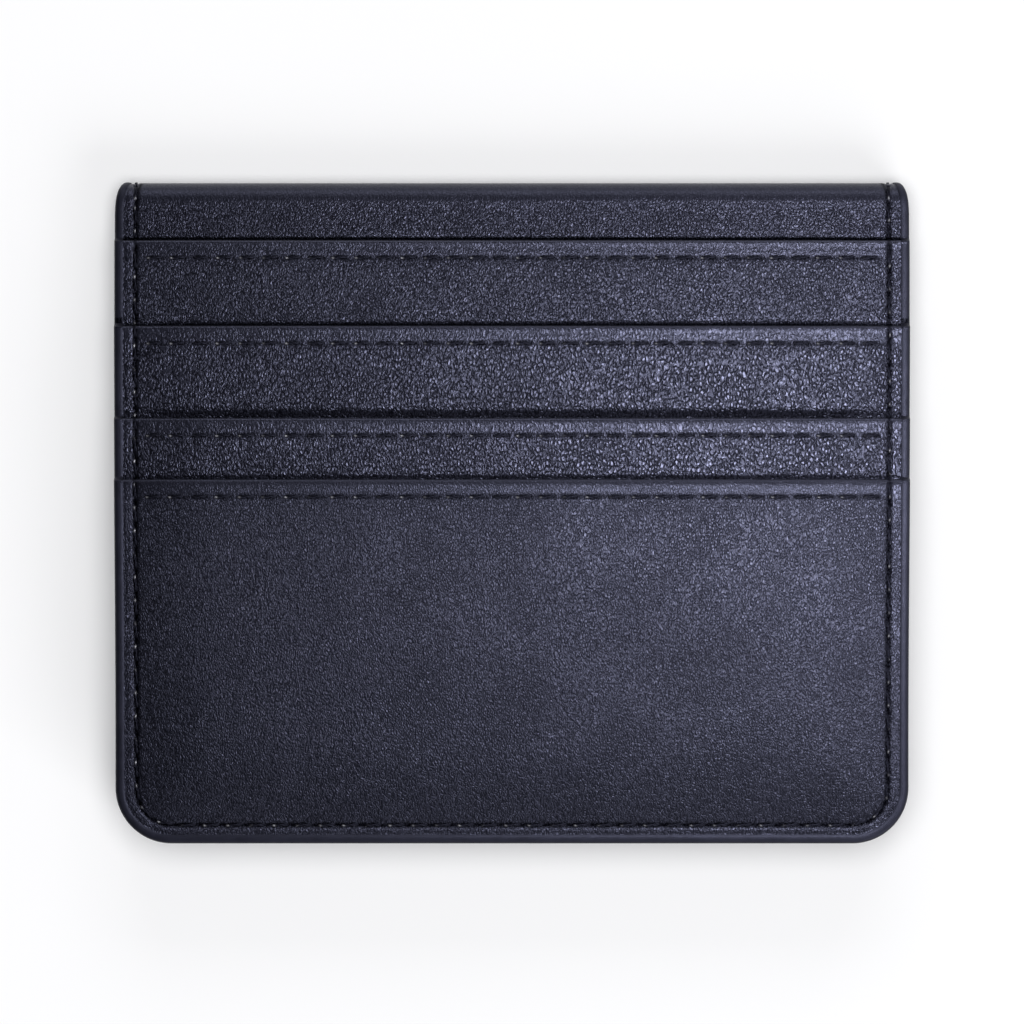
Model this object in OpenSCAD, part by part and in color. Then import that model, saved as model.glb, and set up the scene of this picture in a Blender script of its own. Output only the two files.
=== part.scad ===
// Folding leather card holder: two stitched leaves joined by a leather fold along the top edge.
// It lies closed on its back leaf. X runs along the width, Y towards the fold, Z up through the leaves.
// The front leaf carries four stepped card slots on its outside, and each leaf has a slip pocket inside.
// All sizes are in millimetres.

/* [Body] */
// Width over the painted edges
body_w = 100; // [94:0.5:110]
// Height from the bottom edge to the outside of the fold
body_h = 83; // [80:0.5:92]
// Radius of the two bottom corners
corner_r = 7; // [4:0.5:9]
// Air between the two closed leaves
leaf_gap = 0.5; // [0.3:0.1:1]

/* [Leather and lining] */
// Thickness of the outer shell leather
shell_t = 0.7; // [0.5:0.1:1]
// Thickness of the pocket leather
panel_t = 0.5; // [0.4:0.1:0.8]
// Thickness of the stiffening board in each leaf
board_t = 0.4; // [0.3:0.1:0.6]
// Thickness of the inner lining cloth
lining_t = 0.2; // [0.15:0.05:0.3]
// Thickness of the edge paint outside the leather
coat_t = 0.6; // [0.4:0.1:0.8]

/* [Card slots] */
// Bare shell showing above the first slot
top_strip = 7.3; // [6.5:0.1:9]
// Drop from the mouth of slot 1 to the mouth of slot 2
step_1 = 10.8; // [9:0.1:12]
// Drop from the mouth of slot 2 to the mouth of slot 3
step_2 = 11.6; // [9:0.1:12]
// Drop from the mouth of slot 3 to the mouth of slot 4
step_3 = 7.7; // [7:0.1:10]
// Room for one card in each slot
card_gap = 0.8; // [0.8:0.02:1]
// Thickness of the cloth behind each slot panel
slot_lining_t = 0.12; // [0.1:0.02:0.2]
// How deep a card drops below the mouth of its slot
card_drop = 50; // [48:0.5:50]

/* [Inside pockets] */
// Height of the slip pocket on each leaf, above the bottom edge
inner_pocket_h = 66; // [50:1:70]
// Room in each slip pocket
inner_pocket_gap = 0.5; // [0.4:0.1:0.8]

/* [Stitching] */
// Distance of the side seams from the outer edge
seam_side = 2.6; // [2.2:0.1:3]
// Distance of the bottom seam from the outer edge
seam_bottom = 2.3; // [2:0.1:3]
// Distance of the stitch row from each pocket mouth
hem_drop = 2.2; // [1.6:0.1:2.6]
// Width of the thread
thread_w = 0.4; // [0.3:0.05:0.5]
// Depth of the thread and of the groove that it lies in
thread_t = 0.2; // [0.1:0.05:0.25]

/* [Hidden] */
$fn = 64;
eps = 0.01;
groove_w = thread_w + 0.2;      // pressed groove round the thread
margin_w = 3.6;                 // width of the stitched margins, from the outer edge
glue = 0.02;                    // glue line between a margin and its neighbours
floor_w = 2;                    // width of the glued floor of a slot that ends above the bottom edge
board_gap = 3;                  // the boards stop this far short of the fold
half_w = body_w / 2;
y_bottom = -body_h / 2;

// Heights through the closed holder
back_board_z = shell_t;
back_lining_z = back_board_z + board_t;
back_pocket_z = back_lining_z + lining_t;
back_panel_z = back_pocket_z + inner_pocket_gap;
back_leaf_top = back_panel_z + panel_t;
front_leaf_z = back_leaf_top + leaf_gap;
front_pocket_z = front_leaf_z + panel_t;
front_lining_z = front_pocket_z + inner_pocket_gap;
front_board_z = front_lining_z + lining_t;
front_shell_z = front_board_z + board_t;
front_shell_top = front_shell_z + shell_t;
slot_pitch = card_gap + slot_lining_t + panel_t;

// The fold is a half tube about the hinge axis
fold_r = front_shell_top / 2;
fold_y = y_bottom + body_h - fold_r;
lining_bend_r = fold_r - shell_t - board_t;

// Mouth of each slot, slot 1 nearest the fold
mouth_1 = y_bottom + body_h - top_strip;
mouths = [mouth_1, mouth_1 - step_1, mouth_1 - step_1 - step_2, mouth_1 - step_1 - step_2 - step_3];
inner_mouth = y_bottom + inner_pocket_h;

leather_colour = [0.13, 0.13, 0.18];
panel_colour = [0.16, 0.16, 0.22];
coat_colour = [0.09, 0.09, 0.11];
lining_colour = [0.20, 0.20, 0.24];
board_colour = [0.45, 0.42, 0.38];
thread_colour = [0.06, 0.06, 0.09];

// Height of the outer face of slot k's panel. Level 0 is the bare shell.
function level(k) = front_shell_top + k * slot_pitch;

// Where the level above k begins, going down from the fold: the bottom edge below slot 4
function next_mouth(k) = k < 4 ? mouths[k] : y_bottom;

// Where level k ends towards the fold
function level_end(k) = k == 0 ? fold_y : mouths[k - 1];

// Leaf outline with two round bottom corners, drawn in from the outer edge
module outline(side, bottom, y_top) {
    r = corner_r - max(side, bottom);
    x = half_w - side;
    y = y_bottom + bottom;
    translate([-x, y + r]) square([2 * x, y_top - y - r]);
    translate([-x + r, y]) square([2 * (x - r), r + eps]);
    for (s = [-1, 1]) translate([s * (x - r), y + r]) circle(r);
}

// Flat sheet with the leaf outline, inside the edge paint
module sheet(z, t, y_top) {
    translate([0, 0, z]) linear_extrude(t) outline(coat_t, coat_t, y_top);
}

// Line of the outer seam, w wide, between two heights on the leaf
module seam_line(w, y_from, y_to) {
    intersection() {
        difference() {
            outline(seam_side - w / 2, seam_bottom - w / 2, body_h);
            outline(seam_side + w / 2, seam_bottom + w / 2, body_h);
        }
        translate([-half_w, y_from]) square([body_w, y_to - y_from]);
    }
}

module seam(w, z, t, y_from, y_to) {
    translate([0, 0, z]) linear_extrude(t) seam_line(w, y_from, y_to);
}

// Straight stitch row below a pocket mouth, between the side seams
module hem_row(w, z, t, mouth) {
    length = 2 * (half_w - margin_w);
    translate([-length / 2, mouth - hem_drop - w / 2, z]) cube([length, w, t]);
}

// Margins that close a pocket: two side strips and the bottom strip
module margins(z, t, y_top) {
    translate([0, 0, z + glue]) linear_extrude(t - 2 * glue) intersection() {
        outline(coat_t, coat_t, y_top);
        for (x = [-half_w, half_w - margin_w]) translate([x, y_bottom]) square([margin_w, body_h]);
    }
    margin_bar(y_bottom + coat_t, margin_w - coat_t, z, t);
}

// Straight strip between the two side margins, w wide from y
module margin_bar(y, w, z, t) {
    length = body_w - 2 * (margin_w + glue);
    translate([0, 0, z + glue]) linear_extrude(t - 2 * glue) intersection() {
        outline(coat_t, coat_t, body_h);
        translate([-length / 2, y]) square([length, w]);
    }
}

// Leather panel with its pressed grooves: one below the mouth and one round the outer seam
module slot_panel(k) {
    top = level(k);
    color(panel_colour) difference() {
        sheet(top - panel_t, panel_t, mouths[k - 1]);
        hem_row(groove_w, top - thread_t, thread_t + eps, mouths[k - 1]);
        seam(groove_w, top - thread_t, thread_t + eps, next_mouth(k), mouths[k - 1] + eps);
    }
}

// Cloth behind a slot panel, with the folded margins that close the slot at its sides and bottom
module slot_lining(k) {
    z = level(k - 1);
    mouth = mouths[k - 1];
    pocket_floor = mouth - card_drop;
    color(lining_colour) {
        sheet(z + card_gap, slot_lining_t, mouth);
        margins(z, card_gap, mouth);
        if (pocket_floor > y_bottom + 2 * margin_w)
            margin_bar(pocket_floor - floor_w, floor_w, z, card_gap);
    }
}

module slot_stitching(k) {
    color(thread_colour) hem_row(thread_w, level(k) - thread_t, thread_t, mouths[k - 1]);
}

// Edge paint round the sides and bottom of a leaf, from z up by t
module coat(z, t, y_top) {
    color(coat_colour) translate([0, 0, z]) linear_extrude(t) difference() {
        outline(0, 0, y_top);
        outline(coat_t, coat_t, y_top + eps);
    }
}

module back_shell() {
    color(leather_colour) difference() {
        sheet(0, shell_t, fold_y);
        seam(groove_w, -eps, thread_t + eps, y_bottom, fold_y + eps);
    }
}

module back_board() {
    color(board_colour) sheet(back_board_z, board_t, fold_y - board_gap);
}

module back_lining() {
    color(lining_colour) sheet(back_lining_z, lining_t, fold_y);
}

module back_inner_pocket() {
    z = back_leaf_top - thread_t;
    color(panel_colour) {
        margins(back_pocket_z, inner_pocket_gap, inner_mouth);
        difference() {
            sheet(back_panel_z, panel_t, inner_mouth);
            hem_row(groove_w, z, thread_t + eps, inner_mouth);
            seam(groove_w, z, thread_t + eps, y_bottom, inner_mouth + eps);
        }
    }
}

module back_pocket_stitching() {
    color(thread_colour) hem_row(thread_w, back_leaf_top - thread_t, thread_t, inner_mouth);
}

module back_seam_stitching() {
    color(thread_colour) {
        seam(thread_w, 0, thread_t, y_bottom, fold_y);
        seam(thread_w, back_leaf_top - thread_t, thread_t, y_bottom, inner_mouth);
    }
}

module back_edge_coat() {
    coat(0, back_panel_z, fold_y);
    coat(back_panel_z - eps, panel_t + eps, inner_mouth);
}

// Half tube of the fold, between two x positions
module half_tube(r_out, r_in, x_from, x_to) {
    translate([x_from, fold_y, fold_r]) rotate([90, 0, 90]) linear_extrude(x_to - x_from)
        intersection() {
            difference() {
                circle(r_out);
                circle(r_in);
            }
            translate([0, -fold_r]) square([fold_r + eps, 2 * fold_r]);
        }
}

// The same short half tube at the left and right seams
module at_both_seams(r_out, r_in, w) {
    for (s = [-1, 1])
        half_tube(r_out, r_in, s * (half_w - seam_side) - w / 2, s * (half_w - seam_side) + w / 2);
}

module fold_leather() {
    x = half_w - coat_t;
    color(leather_colour) difference() {
        half_tube(fold_r, fold_r - shell_t, -x, x);
        at_both_seams(fold_r + eps, fold_r - thread_t, groove_w);
    }
}

module fold_lining() {
    x = half_w - coat_t;
    color(lining_colour) half_tube(lining_bend_r, lining_bend_r - lining_t, -x, x);
}

module fold_stitching() {
    color(thread_colour) at_both_seams(fold_r, fold_r - thread_t, thread_w);
}

module fold_edge_coat() {
    color(coat_colour) for (s = [-1, 1])
        half_tube(fold_r, lining_bend_r - lining_t,
            s > 0 ? half_w - coat_t : -half_w, s > 0 ? half_w : coat_t - half_w);
}

module front_shell() {
    color(leather_colour) difference() {
        sheet(front_shell_z, shell_t, fold_y);
        seam(groove_w, front_shell_top - thread_t, thread_t + eps, next_mouth(0), fold_y + eps);
    }
}

module front_board() {
    color(board_colour) sheet(front_board_z, board_t, fold_y - board_gap);
}

module front_lining() {
    color(lining_colour) sheet(front_lining_z, lining_t, fold_y);
}

module front_inner_pocket() {
    color(panel_colour) {
        margins(front_pocket_z, inner_pocket_gap, inner_mouth);
        difference() {
            sheet(front_leaf_z, panel_t, inner_mouth);
            hem_row(groove_w, front_leaf_z - eps, thread_t + eps, inner_mouth);
            seam(groove_w, front_leaf_z - eps, thread_t + eps, y_bottom, inner_mouth + eps);
        }
    }
}

module front_pocket_stitching() {
    color(thread_colour) hem_row(thread_w, front_leaf_z, thread_t, inner_mouth);
}

module front_seam_stitching() {
    color(thread_colour) {
        for (k = [0:4]) seam(thread_w, level(k) - thread_t, thread_t, next_mouth(k), level_end(k));
        seam(thread_w, front_leaf_z, thread_t, y_bottom, inner_mouth);
    }
}

module front_edge_coat() {
    coat(front_leaf_z, panel_t + inner_pocket_gap + eps, inner_mouth);
    coat(front_lining_z, front_shell_top - front_lining_z, fold_y);
    for (k = [1:4]) coat(level(k - 1) - eps, slot_pitch + eps, mouths[k - 1]);
}

back_shell();
back_board();
back_lining();
back_inner_pocket();
back_pocket_stitching();
back_seam_stitching();
back_edge_coat();
fold_leather();
fold_lining();
fold_stitching();
fold_edge_coat();
front_shell();
front_board();
front_lining();
front_inner_pocket();
front_pocket_stitching();
front_seam_stitching();
front_edge_coat();
for (k = [1:4]) {
    slot_panel(k);
    slot_lining(k);
    slot_stitching(k);
}
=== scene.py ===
"""Looks of the folding leather card holder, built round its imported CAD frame.

The holder lies closed on its back leaf. X is its width, Y points to the fold and Z is up, out of
the face with the card slots. Shapes are worked out in millimetres and stored in metres.
"""

import math

import bpy
import numpy as np
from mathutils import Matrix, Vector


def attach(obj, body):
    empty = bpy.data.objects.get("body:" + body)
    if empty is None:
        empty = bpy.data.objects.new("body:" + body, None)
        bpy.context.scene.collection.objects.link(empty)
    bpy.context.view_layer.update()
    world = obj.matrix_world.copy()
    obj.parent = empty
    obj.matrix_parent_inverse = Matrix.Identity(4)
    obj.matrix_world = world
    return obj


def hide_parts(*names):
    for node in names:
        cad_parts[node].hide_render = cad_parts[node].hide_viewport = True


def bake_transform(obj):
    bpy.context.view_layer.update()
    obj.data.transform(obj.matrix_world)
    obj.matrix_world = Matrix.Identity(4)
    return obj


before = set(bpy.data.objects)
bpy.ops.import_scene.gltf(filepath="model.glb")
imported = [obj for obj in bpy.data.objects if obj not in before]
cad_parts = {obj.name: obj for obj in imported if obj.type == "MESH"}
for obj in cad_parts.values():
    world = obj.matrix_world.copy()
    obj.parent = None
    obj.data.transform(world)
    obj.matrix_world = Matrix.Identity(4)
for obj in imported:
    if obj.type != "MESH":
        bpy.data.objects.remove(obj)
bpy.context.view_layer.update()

# ---------------------------------------------------------------- sizes, as in the CAD model
MM = 0.001
HALF_W = 50.0
Y0 = -41.5  # bottom edge
TOP_Y = 41.5  # outermost line of the fold
CORNER_R = 7.0
SHELL_T, BOARD_T, LINING_T, PANEL_T, SLOT_LINING_T = 0.7, 0.4, 0.2, 0.5, 0.12
BOARD_FACE = SHELL_T + BOARD_T
LINING_FACE = BOARD_FACE + LINING_T
CLOSED_T = 5.1  # both leaves without the slot panels
FOLD_R = CLOSED_T / 2
FOLD_Y = TOP_Y - FOLD_R
PITCH = 1.42  # rise from one slot panel to the next, in the middle
MOUTHS = [34.2, 23.4, 11.8, 4.1]
INNER_MOUTH = Y0 + 66
SEAM_SIDE, SEAM_BOTTOM = 2.6, 2.3
HEM_DROP = 2.2  # from a mouth to its stitched row

# ---------------------------------------------------------------- how the real one differs from plain plates
PITCH_EDGE = 1.18  # the same rise at the stitched edges, where the layers are pressed together
INNER_TOP_EDGE = 2.12  # outer face of a slip pocket at the stitched edges
INNER_TOP = 2.3  # and in its middle
LAYER_INSET = 0.36  # the leather stops this far inside the painted edge
LINING_INSET = 0.4
BOARD_INSET = 0.6
STITCH = 2.9
THREAD_R = 0.11  # radius of one of the two plies
HEM_END = 46.4  # the hem rows end here, just inside the side seams
HEM_DEPTH = 5.0  # how far the turned hem reaches behind a mouth
HEM_STEP = HEM_DEPTH - 0.05  # where the rows of points switch from one thickness to two
DIPS = [0.30, 0.42, 0.80, 0.36]  # each level sinks this much at the next mouth
DIP_WIDTHS = [0.34, 0.40, 0.74, 0.36]
EDGE_DIP = 0.45  # share of the dip that is left at the stitched edges
LIFTS = [0.10, 0.18, 0.35, 0.12]  # each mouth stands open this much in its middle
LIFT_MARGIN, LIFT_RUN, LIFT_DEPTH = 4, 22, 5.0  # from the edge, over this width, this far below the mouth
NOSE_Y, NOSE_Z = 0.36, 0.48  # half width and half thickness of a turned mouth
INNER_NOSE_Z = 0.4  # half thickness of a slip pocket's mouth
TOP_TAPER, TOP_TAPER_L = 0.9, 4.4  # the fold's ends are narrower by this much, over this length
LOW_TAPER = 0.35  # each side edge runs in by this much towards the bottom
LOW_TAPER_Y, LOW_TAPER_L = 30.0, 60.0  # starting here, over this length
PUFF_START, PUFF_RUN, PUFF_CURVE = 2.7, 10.0, 1.8  # how the panels rise, inwards from the outer seam

# ---------------------------------------------------------------- depths and half widths of marks
SEAM_D, HOLE_D = 0.26, 0.16
BACK_SEAM_D, BACK_HOLE_D = 0.24, 0.2
SEAM_W, HOLE_W = 0.25, 0.30
HEM_D, HEM_W = 0.20, 0.20
BULGE, BULGE_W = 0.75, 0.42  # how far the leather bulges back between two stitches, as a share of HEM_D
FOLD_GROOVE_D, FOLD_GROOVE_W, FOLD_HOLE_D = 0.15, 0.36, 0.24
CREASE_AT, CREASE_D, CREASE_W = 1.25, 0.07, 0.16  # line along the painted edge
SHOULDER_AT, SHOULDER_H, SHOULDER_W = 0.26, 0.13, 0.30  # rise along a turned mouth
HEM_SWELL_AT, HEM_SWELL_H, HEM_SWELL_W = 3.4, 0.04, 0.8  # rise over the turned hem
RUB_AT, RUB_W = 1.7, 0.5  # leather rubbed smooth along the edge


def smooth(t):
    """0 below 0, 1 above 1 and a soft step between them."""
    t = np.clip(t, 0.0, 1.0)
    return t * t * (3 - 2 * t)


def bell(d, w):
    """1 where d is 0, fading over the half width w."""
    return np.exp(-((d / w) ** 2))


def spans(start, *parts):
    """Values from start through each (end, step) part."""
    out = [np.array([start])]
    for end, step in parts:
        n = max(1, round(abs(end - start) / step))
        out.append(np.linspace(start, end, n + 1)[1:])
        start = end
    return np.concatenate(out)


def spans_from(head, *parts):
    """The values in head, and on from its last one."""
    return np.concatenate([head, spans(head[-1], *parts)[1:]])


# ---------------------------------------------------------------- outline and seam
def side_line(y):
    """X of the right side edge at y, without its round corner."""
    return HALF_W - LOW_TAPER * smooth((LOW_TAPER_Y - y) / LOW_TAPER_L)


def half_width(y, inset=0.0):
    """Half of the outline's width at y, drawn in by inset: round bottom corners, tapered fold ends."""
    r = CORNER_R - inset
    low = np.clip(Y0 + CORNER_R - y, 0.0, r)
    out = side_line(y) - CORNER_R + np.sqrt(np.maximum(r * r - low * low, 0.0))
    t = np.clip((y - (TOP_Y - TOP_TAPER_L)) / TOP_TAPER_L, 0.0, 1.0)
    return out - TOP_TAPER * (1 - np.sqrt(np.maximum(1 - t * t, 0.0)))


def side_gap(x, y):
    """Distance inwards from the side edge, also where it runs in at the fold."""
    return half_width(y) - np.abs(x)


def inset_of(x, y, side=0.0, bottom=0.0):
    """Distance inwards from the leaf's outline, itself drawn in by side and bottom."""
    r = CORNER_R - max(side, bottom)
    dx = side_line(y) - side - np.abs(x)
    dy = y - (Y0 + bottom)
    corner = r - np.hypot(np.maximum(r - dx, 0), np.maximum(r - dy, 0))
    return np.where((dx < r) & (dy < r), corner, np.minimum(dx, dy))


def seam_path(step):
    """Needle holes down the left seam, along the bottom and up the right one, about a step apart."""
    r = CORNER_R - SEAM_SIDE
    cy = Y0 + SEAM_BOTTOM + r
    down = np.linspace(FOLD_Y, cy, 400)
    cx = side_line(cy) - SEAM_SIDE - r
    a = np.linspace(math.pi, 1.5 * math.pi, 80)
    half = np.concatenate([
        np.c_[SEAM_SIDE - side_line(down), down],
        np.c_[-cx + r * np.cos(a), cy + r * np.sin(a)],
        np.c_[np.linspace(-cx, 0.0, 200), np.full(200, Y0 + SEAM_BOTTOM)],
    ])
    line = np.concatenate([half, half[-2::-1] * [-1, 1]])
    length = np.r_[0, np.cumsum(np.hypot(*np.diff(line, axis=0).T))]
    at = np.linspace(0, length[-1], round(length[-1] / step) + 1)
    return np.c_[np.interp(at, length, line[:, 0]), np.interp(at, length, line[:, 1])]


SEAM_HOLES = seam_path(STITCH)


# ---------------------------------------------------------------- marks in the leather
def groove_shade(x, y):
    """How strongly the outer seam's groove shows at a point, 0 to 1. It shapes the groove, and it also sets
    the painted shade in the groove.
    """
    return bell(inset_of(x, y, SEAM_SIDE, SEAM_BOTTOM), SEAM_W)


def seam_marks(x, y, depth=SEAM_D, hole_depth=HOLE_D):
    """How deep the outer seam's groove and its needle holes press the leather."""
    out = depth * groove_shade(x, y)
    near = np.abs(inset_of(x, y, SEAM_SIDE, SEAM_BOTTOM)) < 4 * SEAM_W
    px, py = x[near], y[near]
    nearest = np.full(len(px), np.inf)
    for hx, hy in SEAM_HOLES:
        nearest = np.minimum(nearest, np.hypot(px - hx, py - hy))
    out[near] += hole_depth * bell(nearest, HOLE_W)
    return out


def hem_marks(x, d, depth=HEM_D):
    """The same for the stitched row below a mouth; d is the distance from the mouth.

    The leather bulges back up between one stitch and the next.
    """
    inside = smooth((HEM_END + 0.5 - np.abs(x)) / 0.6)
    along = np.mod(x + HEM_END, STITCH)
    along = np.minimum(along, STITCH - along)
    return inside * depth * bell(d - HEM_DROP, HEM_W) * (1 - BULGE * bell(along, BULGE_W))


def edge_crease(e):
    """Depth of the pressed line along the painted edge; e is the distance from the edge."""
    return CREASE_D * bell(e - CREASE_AT, CREASE_W)


def fold_marks(x, y):
    """Seam groove and edge crease where the leather goes round the fold."""
    groove = FOLD_GROOVE_D * bell(np.abs(x) - (HALF_W - SEAM_SIDE), FOLD_GROOVE_W)
    return groove + edge_crease(side_gap(x, y))


# ---------------------------------------------------------------- height of each layer
def undulation(x, y):
    """Slow swells of worn leather, in millimetres."""
    a = np.sin(x * 0.145 + 0.6) * np.sin(y * 0.19 + 1.1)
    b = np.sin(x * 0.31 - y * 0.12 + 2.0) * 0.5
    c = np.sin(x * 0.07 + y * 0.41 + 4.2) * 0.4
    return 0.04 * (a + b + c)


def puff(x, y):
    """0 at the outer seam and 1 well inside it: the panels spring up between their seams."""
    s = np.clip((inset_of(x, y) - PUFF_START) / PUFF_RUN, 0, 1)
    return 1 - (1 - s) ** PUFF_CURVE


def level_base(k, x, y):
    """Outer face of level k without marks. Level 0 is the shell and levels 1 to 4 are the slot panels."""
    q = puff(x, y)
    z = CLOSED_T + k * (PITCH_EDGE + (PITCH - PITCH_EDGE) * q)
    z = z + undulation(x, y) * q * k / 4
    if k > 0:
        across = smooth((HALF_W - LIFT_MARGIN - np.abs(x)) / LIFT_RUN)
        z = z + LIFTS[k - 1] * across * bell(MOUTHS[k - 1] - y, LIFT_DEPTH)
    if k < 4:
        d = y - MOUTHS[k]
        sink = bell(d, DIP_WIDTHS[k])
        if k > 0:
            sink = np.where(d > 0, sink, 1.0) * (EDGE_DIP + (1 - EDGE_DIP) * q)
        z = z - DIPS[k] * sink
    return z


def level_top(k, x, y):
    """Outer face of level k with its seam, stitch row and edge crease."""
    z = level_base(k, x, y) - seam_marks(x, y) - edge_crease(inset_of(x, y))
    if k > 0:
        d = MOUTHS[k - 1] - y
        shoulder = SHOULDER_H * bell(d - SHOULDER_AT, SHOULDER_W)
        swell = HEM_SWELL_H * bell(d - HEM_SWELL_AT, HEM_SWELL_W)
        z = z - hem_marks(x, d) + shoulder + swell
    return z


def visible_top(x, y):
    """Height of the slot face at any point, without marks."""
    z = level_base(0, x, y)
    for k in range(1, 5):
        d = MOUTHS[k - 1] - y
        nose = np.sqrt(np.clip(1 - (1 - np.clip(d / NOSE_Y, 0, 1)) ** 2, 0, 1))
        z = np.where(d > 0, np.maximum(z, level_base(k, x, y) - NOSE_Z * (1 - nose)), z)
    return z


def inner_base(x, y):
    """Face of the back leaf's slip pocket, which looks up into the fold."""
    return INNER_TOP_EDGE + (INNER_TOP - INNER_TOP_EDGE) * puff(x, y)


def inner_top(x, y):
    """Face that looks into the fold: the slip pocket, and above its mouth the lining."""
    return np.where(y < INNER_MOUTH, inner_base(x, y), LINING_FACE)


# ---------------------------------------------------------------- mesh helpers
def stack(x, y, z):
    """Points from three arrays; y and z may be single numbers or rows."""
    return np.stack(np.broadcast_arrays(x, y, z), -1)


def build(name, verts, quads, polys=(), values=None, sharp=40.0):
    """A mesh object from points in millimetres, quads, and any other polygons."""
    me = bpy.data.meshes.new(name)
    verts = np.asarray(verts, float).reshape(-1, 3) * MM
    quads = np.asarray(quads, np.int32).reshape(-1, 4)
    loops = np.concatenate([quads.ravel()] + [np.asarray(p, np.int32) for p in polys])
    sizes = np.array([4] * len(quads) + [len(p) for p in polys])
    starts = np.cumsum(sizes) - sizes
    me.vertices.add(len(verts))
    me.vertices.foreach_set("co", verts.astype(np.float32).ravel())
    me.loops.add(len(loops))
    me.loops.foreach_set("vertex_index", loops.astype(np.int32))
    me.polygons.add(len(starts))
    me.polygons.foreach_set("loop_start", starts.astype(np.int32))
    me.update(calc_edges=True)
    me.polygons.foreach_set("use_smooth", np.ones(len(starts), bool))
    me.set_sharp_from_angle(angle=math.radians(sharp))
    for key, value in (values or {}).items():
        layer = me.attributes.new(key, "FLOAT", "POINT")
        layer.data.foreach_set("value", np.asarray(value, np.float32).ravel())
    if me.validate():
        print("mesh had faults:", name)
    obj = bpy.data.objects.new(name, me)
    bpy.context.scene.collection.objects.link(obj)
    return obj


def grid_quads(nu, nv, offset=0, flip=False):
    i = np.arange(nu - 1)[:, None] * nv + np.arange(nv - 1)[None, :] + offset
    quads = np.stack([i, i + nv, i + nv + 1, i + 1], -1).reshape(-1, 4)
    return quads[:, ::-1] if flip else quads


def closed_sheet(name, top, bottom, values=None, flip=True):
    """A closed sheet between two matching grids of points, shape (columns, rows, 3)."""
    nu, nv = top.shape[:2]
    n = nu * nv
    verts = np.concatenate([top.reshape(-1, 3), bottom.reshape(-1, 3)])
    border = np.concatenate([
        np.arange(nv), np.arange(1, nu) * nv + nv - 1,
        (nu - 1) * nv + np.arange(nv - 2, -1, -1), np.arange(nu - 2, 0, -1) * nv,
    ])
    following = np.roll(border, -1)
    rim = np.stack([border, following, following + n, border + n], -1)
    faces = np.concatenate([grid_quads(nu, nv), grid_quads(nu, nv, n, True), rim])
    both = {key: np.concatenate([v.ravel(), v.ravel()]) for key, v in (values or {}).items()}
    return build(name, verts, faces[:, ::-1] if flip else faces, values=both)


def xy_grid(xs, ys, inset=LAYER_INSET):
    """Columns xs, given for the full width, and rows ys, fitted to the outline."""
    scale = half_width(ys, inset) / (HALF_W - inset)
    x = xs[:, None] * scale[None, :]
    return x, np.broadcast_to(ys[None, :], x.shape).copy()


def swept(name, rings, wear_and_painted_light, mirrored, sharp):
    """Closed tubes through rings of points, shape (tubes, stations, points, 3).

    mirrored says for each tube whether its rings run the other way round.
    """
    n, m = rings.shape[1:3]
    i, j = np.meshgrid(np.arange(n - 1), np.arange(m), indexing="ij")
    k = (j + 1) % m
    wall = np.stack([i * m + j, i * m + k, (i + 1) * m + k, (i + 1) * m + j], -1).reshape(-1, 4)
    ends = [np.arange(m)[::-1], np.arange(m) + (n - 1) * m]
    quads, caps = [], []
    for tube, turned in enumerate(mirrored):
        step = -1 if turned else 1
        first = tube * n * m
        quads.append(wall[:, ::step] + first)
        caps += [end[::step] + first for end in ends]
    return build(name, rings, np.concatenate(quads), caps, {"wear_and_painted_light": wear_and_painted_light}, sharp)


def turned_over(points, front):
    """The front leaf's inside is the back leaf's turned over about the middle of the closed holder."""
    if not front:
        return points
    out = points.copy()
    out[..., 2] = CLOSED_T - out[..., 2]
    return out


# ---------------------------------------------------------------- stitches
PLIES = (0.0, math.pi)
PLY_POINTS = 15
PLY_SIDES = 7
PLY_SPREAD, PLY_RISE = 0.085, 0.05  # the two plies wind round each other
PLY_TURNS = 1.15  # in one stitch
STITCH_SINK, STITCH_CROWN, STITCH_ROUND = 0.38, 0.36, 0.42  # a stitch dives into its holes at both ends
STITCH_GAP = 0.14  # share of the stitch length at each end that is under the leather
SLANT = 0.11  # each end lies this far beside the line of the holes
GLINT_AT, GLINT_W = 0.14, 0.055  # where along a stitch the light catches it


def twist(t, phase):
    """Sideways and upward offset of one ply along a stitch; t runs from 0 to 1."""
    turn = 2 * math.pi * PLY_TURNS * t + phase
    crown = STITCH_CROWN * np.sin(math.pi * t) ** STITCH_ROUND
    return PLY_SPREAD * np.cos(turn), crown - STITCH_SINK + PLY_RISE * np.sin(turn)


def stitch_lines(starts, ends, surface, normal=1.0):
    """Two twisted plies for each stitch from start to end (x, y), lying on the surface."""
    t = np.linspace(0, 1, PLY_POINTS)
    along = ends - starts
    d = along / np.linalg.norm(along, axis=1, keepdims=True)
    left = np.c_[-d[:, 1], d[:, 0]]
    s = STITCH_GAP + (1 - 2 * STITCH_GAP) * t
    out = []
    for ply in PLIES:
        across, rise = twist(t, ply + 0.4)
        across = across + SLANT * (2 * t - 1)
        xy = starts[:, None] + along[:, None] * s[None, :, None] + left[:, None] * across[None, :, None]
        z = surface(xy[..., 0], xy[..., 1]) + normal * rise[None]
        out.append(np.concatenate([xy, z[..., None]], -1))
    return np.concatenate(out)


def row_of_stitches(y, surface):
    n = round(2 * HEM_END / STITCH)
    points = np.c_[-HEM_END + np.arange(n + 1) * STITCH, np.full(n + 1, y)]
    return stitch_lines(points[:-1], points[1:], surface)


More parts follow.
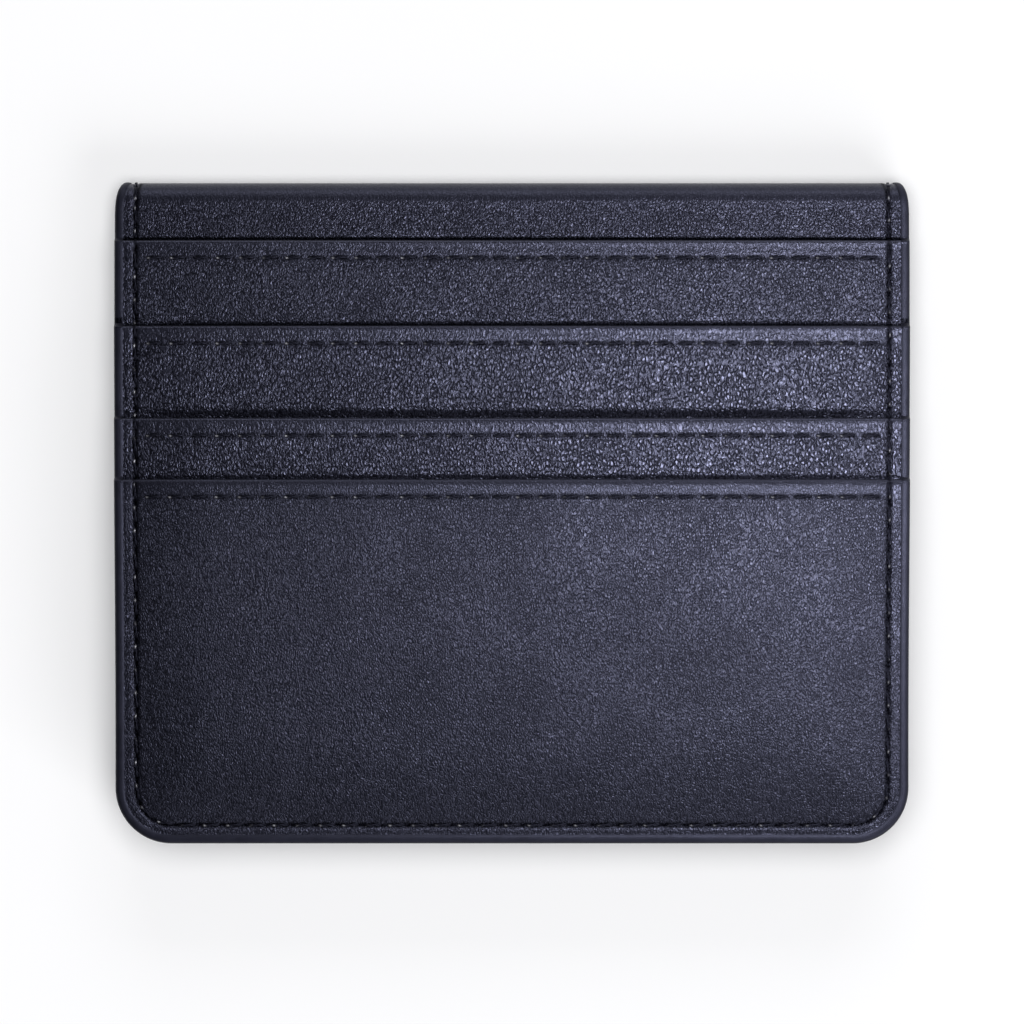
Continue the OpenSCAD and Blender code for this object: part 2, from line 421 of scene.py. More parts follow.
def thread(name, lines):
    """Closed round plies along lines, shape (count, points, 3), with a painted glint on each: lighter colour
    near one end of a stitch, more of it towards the left.
    """
    count, n = lines.shape[:2]
    tangent = np.gradient(lines, axis=1)
    tangent /= np.linalg.norm(tangent, axis=2, keepdims=True)
    up = np.zeros_like(tangent)
    up[..., 2] = 1
    up[np.abs(tangent[..., 2]) > 0.9] = [1, 0, 0]
    side = np.cross(tangent, up)
    side /= np.linalg.norm(side, axis=2, keepdims=True)
    up = np.cross(side, tangent)
    a = np.arange(PLY_SIDES) * 2 * math.pi / PLY_SIDES
    ring = side[:, :, None] * np.cos(a)[:, None] + up[:, :, None] * np.sin(a)[:, None]
    # Painted glint: each stitch is lightened near one end, more on some stitches than others and more towards
    # the left.
    shine = 0.5 + 0.5 * np.sin(np.arange(count) * 2.4)
    shine = shine * (0.4 + 0.6 * smooth((20 - lines[:, 0, 0]) / 60))
    wear_and_painted_light = shine[:, None] * bell(np.linspace(0, 1, n) - GLINT_AT, GLINT_W)[None, :]
    wear_and_painted_light = np.repeat(wear_and_painted_light.ravel(), PLY_SIDES)
    return swept(name, lines[:, :, None] + ring * THREAD_R, wear_and_painted_light, [True] * count, 180)


# ---------------------------------------------------------------- materials
def node(tree, kind, **sets):
    n = tree.nodes.new(kind)
    for key, value in sets.items():
        setattr(n, key, value)
    return n


class Maker:
    """Short names for building a node material."""

    def __init__(self, name):
        self.material = bpy.data.materials.new(name)
        self.material.use_nodes = True
        self.tree = self.material.node_tree
        self.shader = self.tree.nodes["Principled BSDF"]
        self.coords = node(self.tree, "ShaderNodeTexCoord").outputs["Object"]

    def link(self, a, b):
        self.tree.links.new(a, b)

    def math(self, operation, *values, clamp=False):
        n = node(self.tree, "ShaderNodeMath", operation=operation, use_clamp=clamp)
        for socket, value in zip(n.inputs, values):
            if isinstance(value, (int, float)):
                socket.default_value = value
            else:
                self.link(value, socket)
        return n.outputs[0]

    def plus(self, a, b, clamp=False):
        return self.math("ADD", a, b, clamp=clamp)

    def minus(self, a, b):
        return self.math("SUBTRACT", a, b)

    def times(self, a, b):
        return self.math("MULTIPLY", a, b)

    def vector(self, operation, source, value):
        n = node(self.tree, "ShaderNodeVectorMath", operation=operation)
        self.link(source, n.inputs[0])
        if isinstance(value, tuple):
            n.inputs[1].default_value = value
        else:
            self.link(value, n.inputs[1])
        return n.outputs[0]

    def noise(self, vector, scale, detail=2.0, rough=0.5, distortion=0.0, output="Fac"):
        n = node(self.tree, "ShaderNodeTexNoise")
        self.link(vector, n.inputs["Vector"])
        n.inputs["Scale"].default_value = scale
        n.inputs["Detail"].default_value = detail
        n.inputs["Roughness"].default_value = rough
        n.inputs["Distortion"].default_value = distortion
        return n.outputs[output]

    def bands(self, vector, direction, scale, distortion, detail, detail_scale):
        n = node(self.tree, "ShaderNodeTexWave", wave_type="BANDS", bands_direction=direction)
        self.link(vector, n.inputs["Vector"])
        n.inputs["Scale"].default_value = scale
        n.inputs["Distortion"].default_value = distortion
        n.inputs["Detail"].default_value = detail
        n.inputs["Detail Scale"].default_value = detail_scale
        return n.outputs["Fac"]

    def cell_edges(self, vector, scale):
        n = node(self.tree, "ShaderNodeTexVoronoi", feature="DISTANCE_TO_EDGE")
        self.link(vector, n.inputs["Vector"])
        n.inputs["Scale"].default_value = scale
        return n.outputs["Distance"]

    def ranged(self, value, a, b, c=0.0, d=1.0, kind="LINEAR"):
        """Value taken from the range a to b, to the range c to d."""
        n = node(self.tree, "ShaderNodeMapRange", interpolation_type=kind)
        self.link(value, n.inputs["Value"])
        for key, v in zip(("From Min", "From Max", "To Min", "To Max"), (a, b, c, d)):
            n.inputs[key].default_value = v
        return n.outputs["Result"]

    def mixed(self, factor, a, b):
        n = node(self.tree, "ShaderNodeMix", data_type="RGBA")
        self.link(factor, n.inputs["Factor"])
        for socket, v in ((n.inputs[6], a), (n.inputs[7], b)):
            if isinstance(v, tuple):
                socket.default_value = (*v, 1.0)
            else:
                self.link(v, socket)
        return n.outputs[2]

    def attribute(self, name):
        return node(self.tree, "ShaderNodeAttribute", attribute_name=name).outputs["Fac"]

    def bump(self, height, distance, strength=1.0):
        n = node(self.tree, "ShaderNodeBump")
        self.link(height, n.inputs["Height"])
        n.inputs["Distance"].default_value = distance
        n.inputs["Strength"].default_value = strength
        self.link(n.outputs["Normal"], self.shader.inputs["Normal"])

    def finish(self, colour, roughness, **fixed):
        self.link(colour, self.shader.inputs["Base Color"])
        self.link(roughness, self.shader.inputs["Roughness"])
        for key, value in fixed.items():
            self.shader.inputs[key.replace("_", " ")].default_value = value
        return self.material


DARK, LIGHT = (0.0016, 0.0016, 0.0030), (0.0150, 0.0154, 0.0245)
SHEEN_TINT = (0.64, 0.67, 1.0, 1.0)
GRAIN_DEPTH = 0.00012
FINE_GRAIN = 0.10
MEAN_GRAIN = 0.6  # what the grain fades to where the leather is pressed smooth
CAVITY_ROUGHNESS = 0.16  # the creases are this much rougher than the islands
# What the wear attribute does to the leather: lighter colour, lower roughness and more gloss. Its colour is
# real rubbing along the edges and a painted highlight along each mouth; below 0 it is painted shade in the
# seam grooves and stitch rows.
WEAR_AND_PAINTED_LIGHT_TONE, WEAR_POLISH, WEAR_GLOSS = 0.55, 0.25, 0.35


def leather_grain(m, p, size, crack):
    """Flat islands between winding creases about 0.6 mm apart, mixed with pebbles, and finer noise.

    size stretches the pattern and crack is the width of its creases.
    """
    warp = m.vector("MULTIPLY", m.noise(p, 1200, 1.0, output="Color"), (0.00035, 0.00035, 0.00035))
    q = m.vector("MULTIPLY", m.vector("ADD", p, warp), (1.3, 0.78, 1.0))
    waves = m.noise(q, 1150 / size, 1.0, 0.4, 0.3)
    creases = m.ranged(m.math("ABSOLUTE", m.minus(waves, 0.5)), 0.0, crack, kind="SMOOTHSTEP")
    pebbles = m.ranged(m.cell_edges(q, 1420 / size), 0.0, 2 * crack, kind="SMOOTHSTEP")
    mix = m.ranged(m.noise(p, 120, 1.0), 0.40, 0.62, 0.4, 0.7)
    grain = m.plus(m.times(creases, m.minus(1.0, mix)), m.times(pebbles, mix))
    return grain, m.noise(q, 3400 / size, 2.0, 0.6)


def leather(name, seed, roughness, size, crack, low_gloss, high_gloss):
    """Wrinkled grain whose creases are darker, rougher and less glossy than its islands. The darker colour of
    the creases is partly the grain's own tone and partly painted shade.

    The attribute grain is its strength. The wear attribute lightens and polishes the leather: real rubbing
    along the edges, and a painted highlight along each turned mouth. Below 0 it darkens the leather: painted
    shade in the seam grooves and the stitch rows.
    """
    m = Maker(name)
    p = m.vector("ADD", m.coords, (seed, seed * 0.7, 0))
    slow = m.noise(p, 55, 2.0)
    grain, fine = leather_grain(m, p, size, crack)
    strength = m.attribute("grain")
    wear_and_painted_light = m.attribute("wear_and_painted_light")

    amount = m.times(strength, m.ranged(slow, 0.35, 0.65, 0.9, 1.05))
    m.bump(m.times(m.plus(grain, m.times(fine, FINE_GRAIN)), amount), GRAIN_DEPTH * size)

    # The colour follows the grain: darker in the creases, partly the grain's own tone and partly painted
    # shade.
    shown = m.plus(m.times(m.minus(grain, MEAN_GRAIN), strength), MEAN_GRAIN, clamp=True)
    tone = m.times(shown, m.ranged(m.noise(p, 140, 3.0), 0.3, 0.7, 0.75, 1.0))
    # Lighter where the leather is rubbed and where a highlight is painted along the mouths; darker as painted
    # shade in the seam grooves and stitch rows.
    tone = m.plus(tone, m.times(wear_and_painted_light, WEAR_AND_PAINTED_LIGHT_TONE), clamp=True)
    rough = m.ranged(shown, 0.0, 1.0, roughness + CAVITY_ROUGHNESS, roughness)
    rough = m.minus(rough, m.times(wear_and_painted_light, WEAR_POLISH))
    rough = m.plus(rough, m.ranged(slow, 0.3, 0.7, -0.01, 0.01))
    gloss = m.ranged(shown, 0.0, 1.0, low_gloss, high_gloss)
    gloss = m.plus(gloss, m.times(wear_and_painted_light, WEAR_GLOSS), clamp=True)
    m.link(gloss, m.shader.inputs["Specular IOR Level"])
    return m.finish(m.mixed(tone, DARK, LIGHT), rough, Specular_Tint=SHEEN_TINT)


def thread_material():
    m = Maker("thread")
    fibres = m.noise(m.coords, 7000, 2.0, 0.7)
    m.bump(fibres, 0.00003, 0.8)
    colour = m.mixed(fibres, (0.0008, 0.0008, 0.0016), (0.0045, 0.0045, 0.0085))
    # Painted glint: the wear attribute lightens the thread to a pale grey near one end of each stitch.
    colour = m.mixed(m.attribute("wear_and_painted_light"), colour, (0.45, 0.45, 0.50))
    rough = m.ranged(fibres, 0.3, 0.7, 0.62, 0.50)
    return m.finish(colour, rough, Specular_IOR_Level=0.22, Specular_Tint=SHEEN_TINT)


def edge_material():
    """Brushed edge paint, worn lighter along its rims."""
    m = Maker("edge_paint")
    waves = m.noise(m.coords, 420, 3.0, 0.5)
    specks = m.noise(m.coords, 2600, 2.0, 0.6)
    m.bump(m.plus(waves, m.times(specks, 0.25)), 0.00008, 0.6)
    rub = m.times(m.attribute("wear_and_painted_light"), m.ranged(waves, 0.35, 0.65, 0.4, 1.0))
    colour = m.mixed(rub, (0.0035, 0.0036, 0.006), (0.014, 0.0143, 0.023))
    rough = m.ranged(specks, 0.3, 0.7, 0.48, 0.58)
    return m.finish(colour, rough, Specular_IOR_Level=0.36, Specular_Tint=SHEEN_TINT)


def lining_material():
    """Twill: slanted ribs crossed by finer yarns, with a little fuzz."""
    m = Maker("lining_cloth")
    turned = node(m.tree, "ShaderNodeVectorRotate", rotation_type="Z_AXIS")
    m.link(m.coords, turned.inputs["Vector"])
    turned.inputs["Angle"].default_value = math.radians(52)
    ribs = m.bands(turned.outputs[0], "X", 900.0, 0.6, 1.0, 2.0)
    yarns = m.bands(m.coords, "Y", 1300.0, 0.8, 2.0, 1.0)
    weave = m.plus(m.times(ribs, 0.7), m.times(yarns, 0.3))
    fuzz = m.noise(m.coords, 5200, 2.0, 0.7)
    m.bump(m.plus(weave, m.times(fuzz, 0.3)), 0.00006, 0.8)
    colour = m.mixed(weave, (0.006, 0.006, 0.010), (0.022, 0.022, 0.035))
    rough = m.ranged(fuzz, 0.3, 0.7, 0.7, 0.85)
    return m.finish(colour, rough, Specular_IOR_Level=0.3, Sheen_Weight=0.08)


def board_material():
    m = Maker("stiffening_board")
    fibres = m.noise(m.vector("MULTIPLY", m.coords, (1.0, 3.0, 1.0)), 1500, 4.0, 0.7)
    m.bump(fibres, 0.00008, 0.6)
    colour = m.mixed(fibres, (0.10, 0.075, 0.05), (0.30, 0.24, 0.17))
    return m.finish(colour, m.ranged(fibres, 0.3, 0.7, 0.8, 0.95))


def floor_material():
    m = Maker("floor")
    cloud = m.noise(m.coords, 9, 3.0)
    colour = m.mixed(cloud, (0.86, 0.86, 0.87), (0.89, 0.89, 0.90))
    return m.finish(colour, m.ranged(cloud, 0.3, 0.7, 0.75, 0.85))


SHELL = leather("shell_leather", 0.013, 0.31, 0.60, 0.14, 0.12, 0.80)
PANEL = leather("panel_leather", 0.041, 0.315, 0.51, 0.15, 0.21, 0.58)
COARSE_GRAIN = leather("coarse_leather", 0.067, 0.32, 0.74, 0.14, 0.12, 0.86)
SLOT_LEATHERS = [SHELL, COARSE_GRAIN, COARSE_GRAIN, PANEL]
THREAD = thread_material()
EDGE = edge_material()
LINING = lining_material()
BOARD = board_material()


# ---------------------------------------------------------------- placing the pieces
# Numbers for bending the fold's pieces with the hinge: a start past FOLD_Y by y at height z, and the way to
# the end. bend() is handed them and does not use them.
FOLD_BEND = (2.2, 2.6, -2.6, 2.19)
FOLD_LINING_BEND = (1.6, 2.0, -1.3, 2.25)


def place(obj, body, slot, material, *nodes):
    obj.data.materials.append(material)
    if body:
        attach(obj, body)
    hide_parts(*nodes)
    return obj


def bend(obj, y, z, dy, dz):
    """Bakes the piece's transform into its mesh; it does not bend the piece. y, z, dy and dz, a point past
    FOLD_Y by y at height z and the way (dy, dz) from it, are not used.
    """
    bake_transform(obj)


def declare_cloth(rows):
    """Works out a lining's width at its rows from the outline, and does nothing with it. The lining is cut to
    its rows and to the outline, and glued and stitched down along its edges.
    """
    width = 2 * half_width(rows, LINING_INSET) * MM


# ---------------------------------------------------------------- rows and columns of points
FINE_STEP, COARSE_STEP = STITCH / 8, 1.5
STRAIGHT_Y = Y0 + 8  # above this the side edges are clear of the round corners
X_FINE = spans(
    -(HALF_W - LAYER_INSET), (-HEM_END + 0.5, 0.16), (-HEM_END + STITCH, 0.29), (HEM_END - STITCH, FINE_STEP),
    (HEM_END - 0.5, 0.29), (HALF_W - LAYER_INSET, 0.16),
)
X_COARSE = spans(-(HALF_W - LAYER_INSET), (-44, 0.5), (44, 1.6), (HALF_W - LAYER_INSET, 0.5))
CORNER_ROWS = (Y0 + 1.4, 0.16), (Y0 + 4.6, 0.22), (STRAIGHT_Y, 0.32)
HIDDEN_CORNER_ROWS = (Y0 + 1.6, 0.3), (STRAIGHT_Y, 0.9)
NOSE = np.radians([86, 72, 58, 44, 30, 16, 5])


def hem_rows(mouth, gap, step, stitch_step):
    """Row parts up to gap below a turned hem, over its end and its stitched row, and on to its nose."""
    return ((mouth - HEM_DEPTH - gap, step), (mouth - HEM_DEPTH, 0.1), (mouth - 3.2, 0.3),
            (mouth - 1.2, stitch_step), (mouth - NOSE_Y, 0.2))


def panel_rows(k):
    """Rows from the bottom edge to the start of the nose, close together only where the panel shows."""
    mouth = MOUTHS[k - 1]
    start = Y0 + LAYER_INSET
    if k == 4:
        head = spans(start, *CORNER_ROWS)
    else:
        head = spans(start, *HIDDEN_CORNER_ROWS, (MOUTHS[k] - 0.8, COARSE_STEP), (MOUTHS[k] + 1.5, 0.12))
    return spans_from(head, *hem_rows(mouth, 0.3, FINE_STEP, 0.16))


def with_nose(face, mouth, height, half_thickness, sign):
    """A face's rows, carried on round the turned mouth from its edge to its tip."""
    x = face[:, -1:, 0]
    y = mouth - NOSE_Y + NOSE_Y * np.cos(NOSE)[None, :]
    z = (height - half_thickness)[:, None] + sign * half_thickness * np.sin(NOSE)[None, :]
    return np.concatenate([face, stack(x, y, z)], 1)


# ---------------------------------------------------------------- slot panels and their linings
def add_panel(k):
    mouth = MOUTHS[k - 1]
    x, y = xy_grid(X_FINE, panel_rows(k))
    base = level_base(k, x, y)
    thick = np.where(mouth - y < HEM_STEP, 2 * NOSE_Z, PANEL_T)
    top = with_nose(stack(x, y, level_top(k, x, y)), mouth, base[:, -1], NOSE_Z, 1)
    low = with_nose(stack(x, y, base - thick), mouth, base[:, -1], NOSE_Z, -1)
    x, y = top[..., 0], top[..., 1]
    d = mouth - y
    # A painted highlight along the mouth's rounded rim, and real rubbing along the edge.
    rub_and_painted_highlight = 0.4 * bell(d - 0.24, 0.20) + 0.2 * bell(inset_of(x, y) - RUB_AT, RUB_W) * (d > 0.5)
    values = {
        "grain": 0.6 + 0.4 * smooth((d - 1.6) / 1.4) - 0.35 * bell(d, 0.5),
        # Below 0: painted shade in the seam groove and in the stitch row.
        "wear_and_painted_light": rub_and_painted_highlight - groove_shade(x, y) - hem_marks(x, d, 1.0),
    }
    panel = closed_sheet(f"Slot{k}Panel", top, low, values)
    return place(panel, "front_leaf", "panel_leather", SLOT_LEATHERS[k - 1], f"slot_{k}_panel")


def add_slot_lining(k, panel):
    """The cloth behind a panel. Along its sides and bottom it is folded down to the layer below and glued."""
    mouth = MOUTHS[k - 1]
    ys = spans(Y0 + LINING_INSET, *HIDDEN_CORNER_ROWS, (mouth - HEM_DEPTH - 0.2, COARSE_STEP))
    x, y = xy_grid(X_COARSE, ys, LINING_INSET)
    upper = level_base(k, x, y) - PANEL_T - 0.02
    loose = upper - SLOT_LINING_T
    glued = np.minimum(level_base(k - 1, x, y) + 0.02, loose)
    rim = smooth((3.9 - inset_of(x, y)) / 0.5)
    lower = loose * (1 - rim) + glued * rim
    lining = closed_sheet(f"Slot{k}Lining", stack(x, y, upper), stack(x, y, lower))
    place(lining, "front_leaf", "lining_cloth", LINING, f"slot_{k}_lining")
    declare_cloth(ys)


def add_slot_stitches(k):
    lines = row_of_stitches(MOUTHS[k - 1] - HEM_DROP, lambda x, y: level_base(k, x, y))
    row = thread(f"Slot{k}Stitches", lines)
    place(row, "front_leaf", "thread", THREAD, f"slot_{k}_stitching")


for slot in range(1, 5):
    add_slot_lining(slot, add_panel(slot))
    add_slot_stitches(slot)


# ---------------------------------------------------------------- shells and fold
def shell_values(x, y):
    e = np.minimum(inset_of(x, y), side_gap(x, y))
    return {
        "grain": 1.0 - 0.75 * smooth((y - (FOLD_Y - 1.2)) / 2.8),
        # Real rubbing along the edge; below 0, painted shade in the seam groove.
        "wear_and_painted_light": 0.15 * bell(e - RUB_AT, RUB_W) - bell(e - SEAM_SIDE, SEAM_W),
    }


def shell_crease(x, y):
    """The edge crease follows the outline's round corners, and above them the side edge up to the fold."""
    return edge_crease(np.where(y > STRAIGHT_Y, side_gap(x, y), inset_of(x, y)))


def add_front_shell():
    ys = spans(
        Y0 + LAYER_INSET, *HIDDEN_CORNER_ROWS, (MOUTHS[0] - 0.8, COARSE_STEP), (MOUTHS[0] + 1.5, 0.12),
        (FOLD_Y, FINE_STEP),
    )
    x, y = xy_grid(X_FINE, ys)
    top = stack(x, y, level_base(0, x, y) - seam_marks(x, y) - shell_crease(x, y))
    shell = closed_sheet("FrontShell", top, stack(x, y, CLOSED_T - SHELL_T), shell_values(x, y))
    place(shell, "front_leaf", "shell_leather", SHELL, "front_shell")


def add_back_shell():
    ys = spans(Y0 + LAYER_INSET, *CORNER_ROWS, (FOLD_Y, 0.42))
    x, y = xy_grid(X_FINE, ys)
    low = stack(x, y, seam_marks(x, y, BACK_SEAM_D, BACK_HOLE_D) + shell_crease(x, y))
    shell = closed_sheet("BackShell", stack(x, y, SHELL_T), low, shell_values(x, y))
    place(shell, "back_leaf", "shell_leather", SHELL, "back_shell")


FOLD_ANGLES = np.radians(np.linspace(90, -90, 61))
FOLD_HOLES = np.radians([30, -30, 90, -90])


def fold_columns(r, xs):
    """X and Y of columns xs round the fold at radius r."""
    y = FOLD_Y + r * np.cos(FOLD_ANGLES)
    return xs[:, None] * (half_width(y, LAYER_INSET) / (HALF_W - LAYER_INSET))[None, :], y[None, :]


def round_fold(x, r, a=FOLD_ANGLES):
    return stack(x, FOLD_Y + r * np.cos(a), FOLD_R + r * np.sin(a))


def add_fold_leather():
    x, y = fold_columns(FOLD_R, X_FINE)
    y = np.broadcast_to(y, x.shape)
    r = FOLD_R - fold_marks(x, y)
    for hole in FOLD_HOLES:
        to_hole = np.hypot(np.abs(x) - (HALF_W - SEAM_SIDE), (FOLD_ANGLES[None, :] - hole) * FOLD_R)
        r = r - FOLD_HOLE_D * bell(to_hole, HOLE_W)
    fold = closed_sheet("FoldLeather", round_fold(x, r), round_fold(x, FOLD_R - SHELL_T), shell_values(x, y))
    place(fold, None, "shell_leather", SHELL, "fold_leather")
    bend(fold, *FOLD_BEND)


def add_fold_lining():
    r = FOLD_R - SHELL_T - BOARD_T
    x, _ = fold_columns(r, X_COARSE)
    lining = closed_sheet("FoldLining", round_fold(x, r), round_fold(x, r - LINING_T))
    place(lining, None, "lining_cloth", LINING, "fold_lining")
    bend(lining, *FOLD_LINING_BEND)


add_front_shell()
add_back_shell()
add_fold_leather()
add_fold_lining()


# ---------------------------------------------------------------- inside the leaves
def add_leaf_lining(side, front):
    ys = spans(Y0 + LINING_INSET, *HIDDEN_CORNER_ROWS, (FOLD_Y, 1.2))
    x, y = xy_grid(X_COARSE, ys, LINING_INSET)
    sag = 0.02 * np.sin(x * 0.5) * np.sin(y * 0.4) * smooth((FOLD_Y - y) / 4)
    face = turned_over(stack(x, y, LINING_FACE + sag), front)
    under = turned_over(stack(x, y, BOARD_FACE), front)
    lining = closed_sheet(side.capitalize() + "Lining", face, under, flip=not front)
    place(lining, side + "_leaf", "lining_cloth", LINING, side + "_lining")
    declare_cloth(ys)


def add_board(side, front):
    ys = spans(Y0 + BOARD_INSET, *HIDDEN_CORNER_ROWS, (FOLD_Y - 3, COARSE_STEP))
    x, y = xy_grid(X_COARSE, ys, BOARD_INSET)
    face = turned_over(stack(x, y, BOARD_FACE - 0.02), front)
    under = turned_over(stack(x, y, SHELL_T + 0.06), front)
    board = closed_sheet(side.capitalize() + "Board", face, under, flip=not front)
    place(board, side + "_leaf", "stiffening_board", BOARD, side + "_board")


def add_inner_pocket(side, front):
    mouth = INNER_MOUTH
    ys = spans(Y0 + LAYER_INSET, *CORNER_ROWS, *hem_rows(mouth, 0.2, 0.48, 0.18))
    x, y = xy_grid(X_FINE, ys)
    base = inner_base(x, y)
    d = mouth - y
    marks = seam_marks(x, y) + hem_marks(x, d) + edge_crease(inset_of(x, y))
    thick = np.where(d < HEM_STEP, 2 * INNER_NOSE_Z, PANEL_T)
    top = with_nose(stack(x, y, base - marks), mouth, base[:, -1], INNER_NOSE_Z, 1)
    low = with_nose(stack(x, y, base - thick), mouth, base[:, -1], INNER_NOSE_Z, -1)
    d = mouth - top[..., 1]
    # Here the wear value is a painted highlight along the pocket's mouth.
    values = {"grain": 0.5 + 0.5 * smooth((d - 1.6) / 1.4), "wear_and_painted_light": 0.6 * bell(d - 0.15, 0.4)}
    name = side.capitalize() + "InnerPocket"
    pocket = closed_sheet(name, turned_over(top, front), turned_over(low, front), values, flip=not front)
    place(pocket, side + "_leaf", "panel_leather", PANEL, side + "_inner_pocket")


def add_pocket_stitches(side, front):
    lines = turned_over(row_of_stitches(INNER_MOUTH - HEM_DROP, inner_base), front)
    row = thread(side.capitalize() + "PocketStitches", lines)
    place(row, side + "_leaf", "thread", THREAD, side + "_pocket_stitching")


for leaf, is_front in (("back", False), ("front", True)):
    add_leaf_lining(leaf, is_front)
    add_board(leaf, is_front)
    add_inner_pocket(leaf, is_front)
    add_pocket_stitches(leaf, is_front)


# ---------------------------------------------------------------- seam stitches
def back_groove(x, y):
    """Floor of the seam groove in the back face."""
    return 0 * x + 0.27


def add_seam_stitches():
    holes = SEAM_HOLES[:-1], SEAM_HOLES[1:]
    outer = stitch_lines(*holes, visible_top)
    inner = stitch_lines(*holes, inner_top)
    under = stitch_lines(*holes, back_groove, -1.0)
    seam = thread("FrontSeamStitches", np.concatenate([outer, turned_over(inner, True)]))
    place(seam, "front_leaf", "thread", THREAD, "front_seam_stitching")
    seam = thread("BackSeamStitches", np.concatenate([under, inner]))
    place(seam, "back_leaf", "thread", THREAD, "back_seam_stitching")


def add_fold_stitches():
    """Three stitches round the fold at each side, 58 degrees each, starting just below the slot face."""
    t = np.linspace(0, 1, PLY_POINTS)
    lines = []
    for side in (-1, 1):
        for i in range(3):
            a = np.radians(88 - 58 * (i + 0.08 + 0.84 * t))
            for ply in PLIES:
                across, rise = twist(t, ply)
                x = side * (HALF_W - SEAM_SIDE) + across + 0.1 * (t - 0.5)
                lines.append(round_fold(x, FOLD_R + rise, a))
    seam = thread("FoldStitches", np.array(lines))
    place(seam, None, "thread", THREAD, "fold_stitching")
    bend(seam, *FOLD_BEND)


add_seam_stitches()
add_fold_stitches()


# ---------------------------------------------------------------- painted edges
def outline_path():
    """Points down the left edge, along the bottom and up the right edge, with outward directions."""
    ys = np.array([FOLD_Y])
    for m in sorted(MOUTHS + [INNER_MOUTH], reverse=True):
        ys = spans_from(ys, (m + 1.0, 0.8), (m - 1.4, 0.12))
    ys = spans_from(ys, (Y0 + CORNER_R, 0.8))
    left = np.c_[-half_width(ys), ys, np.full_like(ys, -1.0), np.zeros_like(ys)]
    a = np.linspace(math.pi, 1.5 * math.pi, 25)[1:]
    c = side_line(Y0 + CORNER_R) - CORNER_R
    corner = np.c_[-c + CORNER_R * np.cos(a), Y0 + CORNER_R + CORNER_R * np.sin(a), np.cos(a), np.sin(a)]
    bottom = np.array([[v, Y0, 0.0, -1.0] for v in spans(-c, (0.0, 1.0))[1:]])
    half = np.concatenate([left, corner, bottom])
    return np.concatenate([half, (half * [-1, 1, -1, 1])[-2::-1]])


def coat_section(z_low, z_top, layers):
    """Section of the paint round a cut edge: (distance in from the outline, height), outside then inside."""
    wall = np.linspace(0, 1, layers * 4 + 1)
    groove = 0.05 * bell(np.sin(wall * layers * math.pi), 0.35)
    groove[0] = groove[-1] = 0
    wall_low, wall_top = z_low + 0.34, z_top - 0.34
    upper_rim = [
        (1.10, z_top + 0.015), (0.98, z_top + 0.075), (0.78, z_top + 0.105), (0.55, z_top + 0.10),
        (0.32, z_top + 0.035), (0.13, z_top - 0.10),
    ]
    lower_rim = [
        (0.13, z_low + 0.10), (0.32, z_low - 0.005), (0.55, z_low - 0.02), (0.85, z_low - 0.015),
        (1.10, z_low),
    ]
    inside = [
        (1.08, z_low + 0.03), (0.36, z_low + 0.03), (0.31, z_low + 0.2), (0.31, z_top - 0.2),
        (0.36, z_top - 0.03), (1.08, z_top - 0.03),
    ]
    side = np.c_[groove, wall_top + (wall_low - wall_top) * wall]
    return np.concatenate([upper_rim, side, lower_rim, inside])


def rim_wear(section, z_top):
    """The paint is worn where its rim meets the leather."""
    return bell(section[:, 0] - 0.55, 0.3) * (np.abs(section[:, 1] - z_top) < 0.2)


def leaf_heights(y, front):
    """Lower and upper edge of a leaf's stack of layers at y, which steps at each mouth."""
    step = smooth((INNER_MOUTH + 0.05 - y) / 0.7)
    inner = LINING_FACE + (INNER_TOP_EDGE - LINING_FACE) * step
    if front:
        return CLOSED_T - inner, CLOSED_T + PITCH_EDGE * sum(smooth((m + 0.25 - y) / 0.4) for m in MOUTHS)
    return 0.04, inner


def add_edge(side, front, layers):
    rings, wear_and_painted_light = [], []
    for x, y, nx, ny in outline_path():
        low, top = leaf_heights(y, front)
        section = coat_section(low, top, layers)
        rings.append(np.c_[x - nx * section[:, 0], y - ny * section[:, 0], section[:, 1]])
        wear_and_painted_light.append(rim_wear(section, top))
    coat = swept(side.capitalize() + "EdgeCoat", np.array([rings]), np.array(wear_and_painted_light), [False], 50)
    place(coat, side + "_leaf", "edge_paint", EDGE, side + "_edge_coat")


def add_fold_edge():
    """The same paint round the fold. It thins towards the back, so that it stays above the floor."""
    rings, wear_and_painted_light = [], []
    for side in (-1, 1):
        for degrees in np.linspace(90, -90, 41):
            a = math.radians(degrees)
            section = coat_section(1.6, FOLD_R - 0.115 * smooth((20 - degrees) / 110), 2)
            edge = half_width(FOLD_Y + FOLD_R * math.cos(a))
            rings.append(round_fold(side * (edge - section[:, 0]), section[:, 1], a))
            wear_and_painted_light.append(bell(section[:, 0] - 0.55, 0.3) * (section[:, 1] > FOLD_R - 0.2))
    rings = np.array(rings).reshape(2, -1, *rings[0].shape)
    coat = swept("FoldEdgeCoat", rings, np.array(wear_and_painted_light), [False, True], 50)
    place(coat, None, "edge_paint", EDGE, "fold_edge_coat")
    bend(coat, *FOLD_BEND)


add_edge("front", True, 6)
add_edge("back", False, 3)
add_fold_edge()

# ---------------------------------------------------------------- floor, light and camera
FLOOR = 12000.0  # half of its side
FLOOR_CORNERS = [[-FLOOR, -FLOOR, 0], [FLOOR, -FLOOR, 0], [FLOOR, FLOOR, 0], [-FLOOR, FLOOR, 0]]
floor = build("Floor", FLOOR_CORNERS, [[0, 1, 2, 3]])
floor.data.materials.append(floor_material())


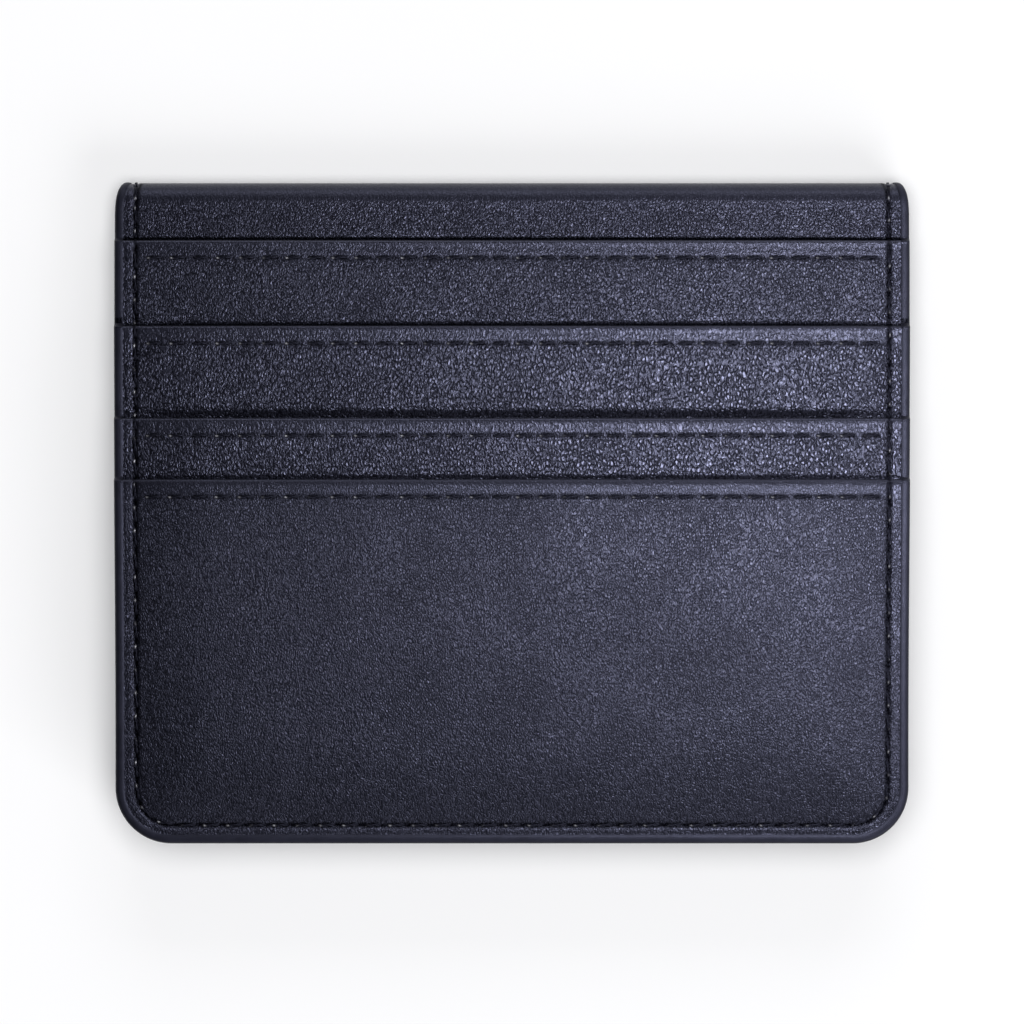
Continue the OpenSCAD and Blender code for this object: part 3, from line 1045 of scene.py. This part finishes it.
def lamp(name, kind, place_m, look_m, power, floor_state=None):
    """A lamp that looks at a point. floor_state EXCLUDE spares the floor, INCLUDE lights nothing else."""
    light = bpy.data.lights.new(name, kind)
    light.energy = power
    obj = bpy.data.objects.new(name, light)
    obj.location = place_m
    direction = Vector(look_m) - Vector(place_m)
    obj.rotation_mode = "QUATERNION"
    obj.rotation_quaternion = direction.to_track_quat("-Z", "Y")
    obj.visible_camera = False
    bpy.context.scene.collection.objects.link(obj)
    if floor_state:
        receivers = bpy.data.collections.new(name + "Receivers")
        receivers.objects.link(floor)
        receivers.collection_objects[0].light_linking.link_state = floor_state
        obj.light_linking.receiver_collection = receivers
    return light


def area_light(name, place_m, look_m, size, watts, floor_state=None):
    """A rectangular lamp of the given size in metres."""
    light = lamp(name, "AREA", place_m, look_m, watts, floor_state)
    light.shape = "RECTANGLE"
    light.size, light.size_y = size


area_light("Key", (0.049, 0.004, 0.105), (0.045, 0.004, 0.0), (0.028, 0.085), 0.195, "EXCLUDE")
area_light("Side", (0.7, 0.25, 0.45), (0, 0, 0), (0.4, 0.6), 1.2, "EXCLUDE")
area_light("Back", (0.1, 1.0, 0.5), (0, 0, 0), (0.9, 0.5), 3.4)
area_light("Front", (0.6, -0.9, 0.5), (0, 0, 0), (0.9, 0.5), 6.5)
floor_light = lamp("FloorLight", "SUN", (0, 0, 1.5), (0, 0, 0), 2.5, "INCLUDE")
floor_light.angle = math.radians(50)

world = bpy.data.worlds.new("Studio")
world.use_nodes = True
background = world.node_tree.nodes["Background"]
background.inputs["Color"].default_value = (0.93, 0.95, 1.0, 1.0)
background.inputs["Strength"].default_value = 0.07
bpy.context.scene.world = world

camera = bpy.data.cameras.new("Camera")
camera.sensor_width = 36.0
camera.lens = 250.0
camera.clip_start = 0.05
camera.clip_end = 10.0
view = bpy.data.objects.new("Camera", camera)
view.location = (0.0, 0.0, 0.90)
bpy.context.scene.collection.objects.link(view)
bpy.context.scene.camera = view
bpy.context.scene.view_settings.view_transform = "Standard"
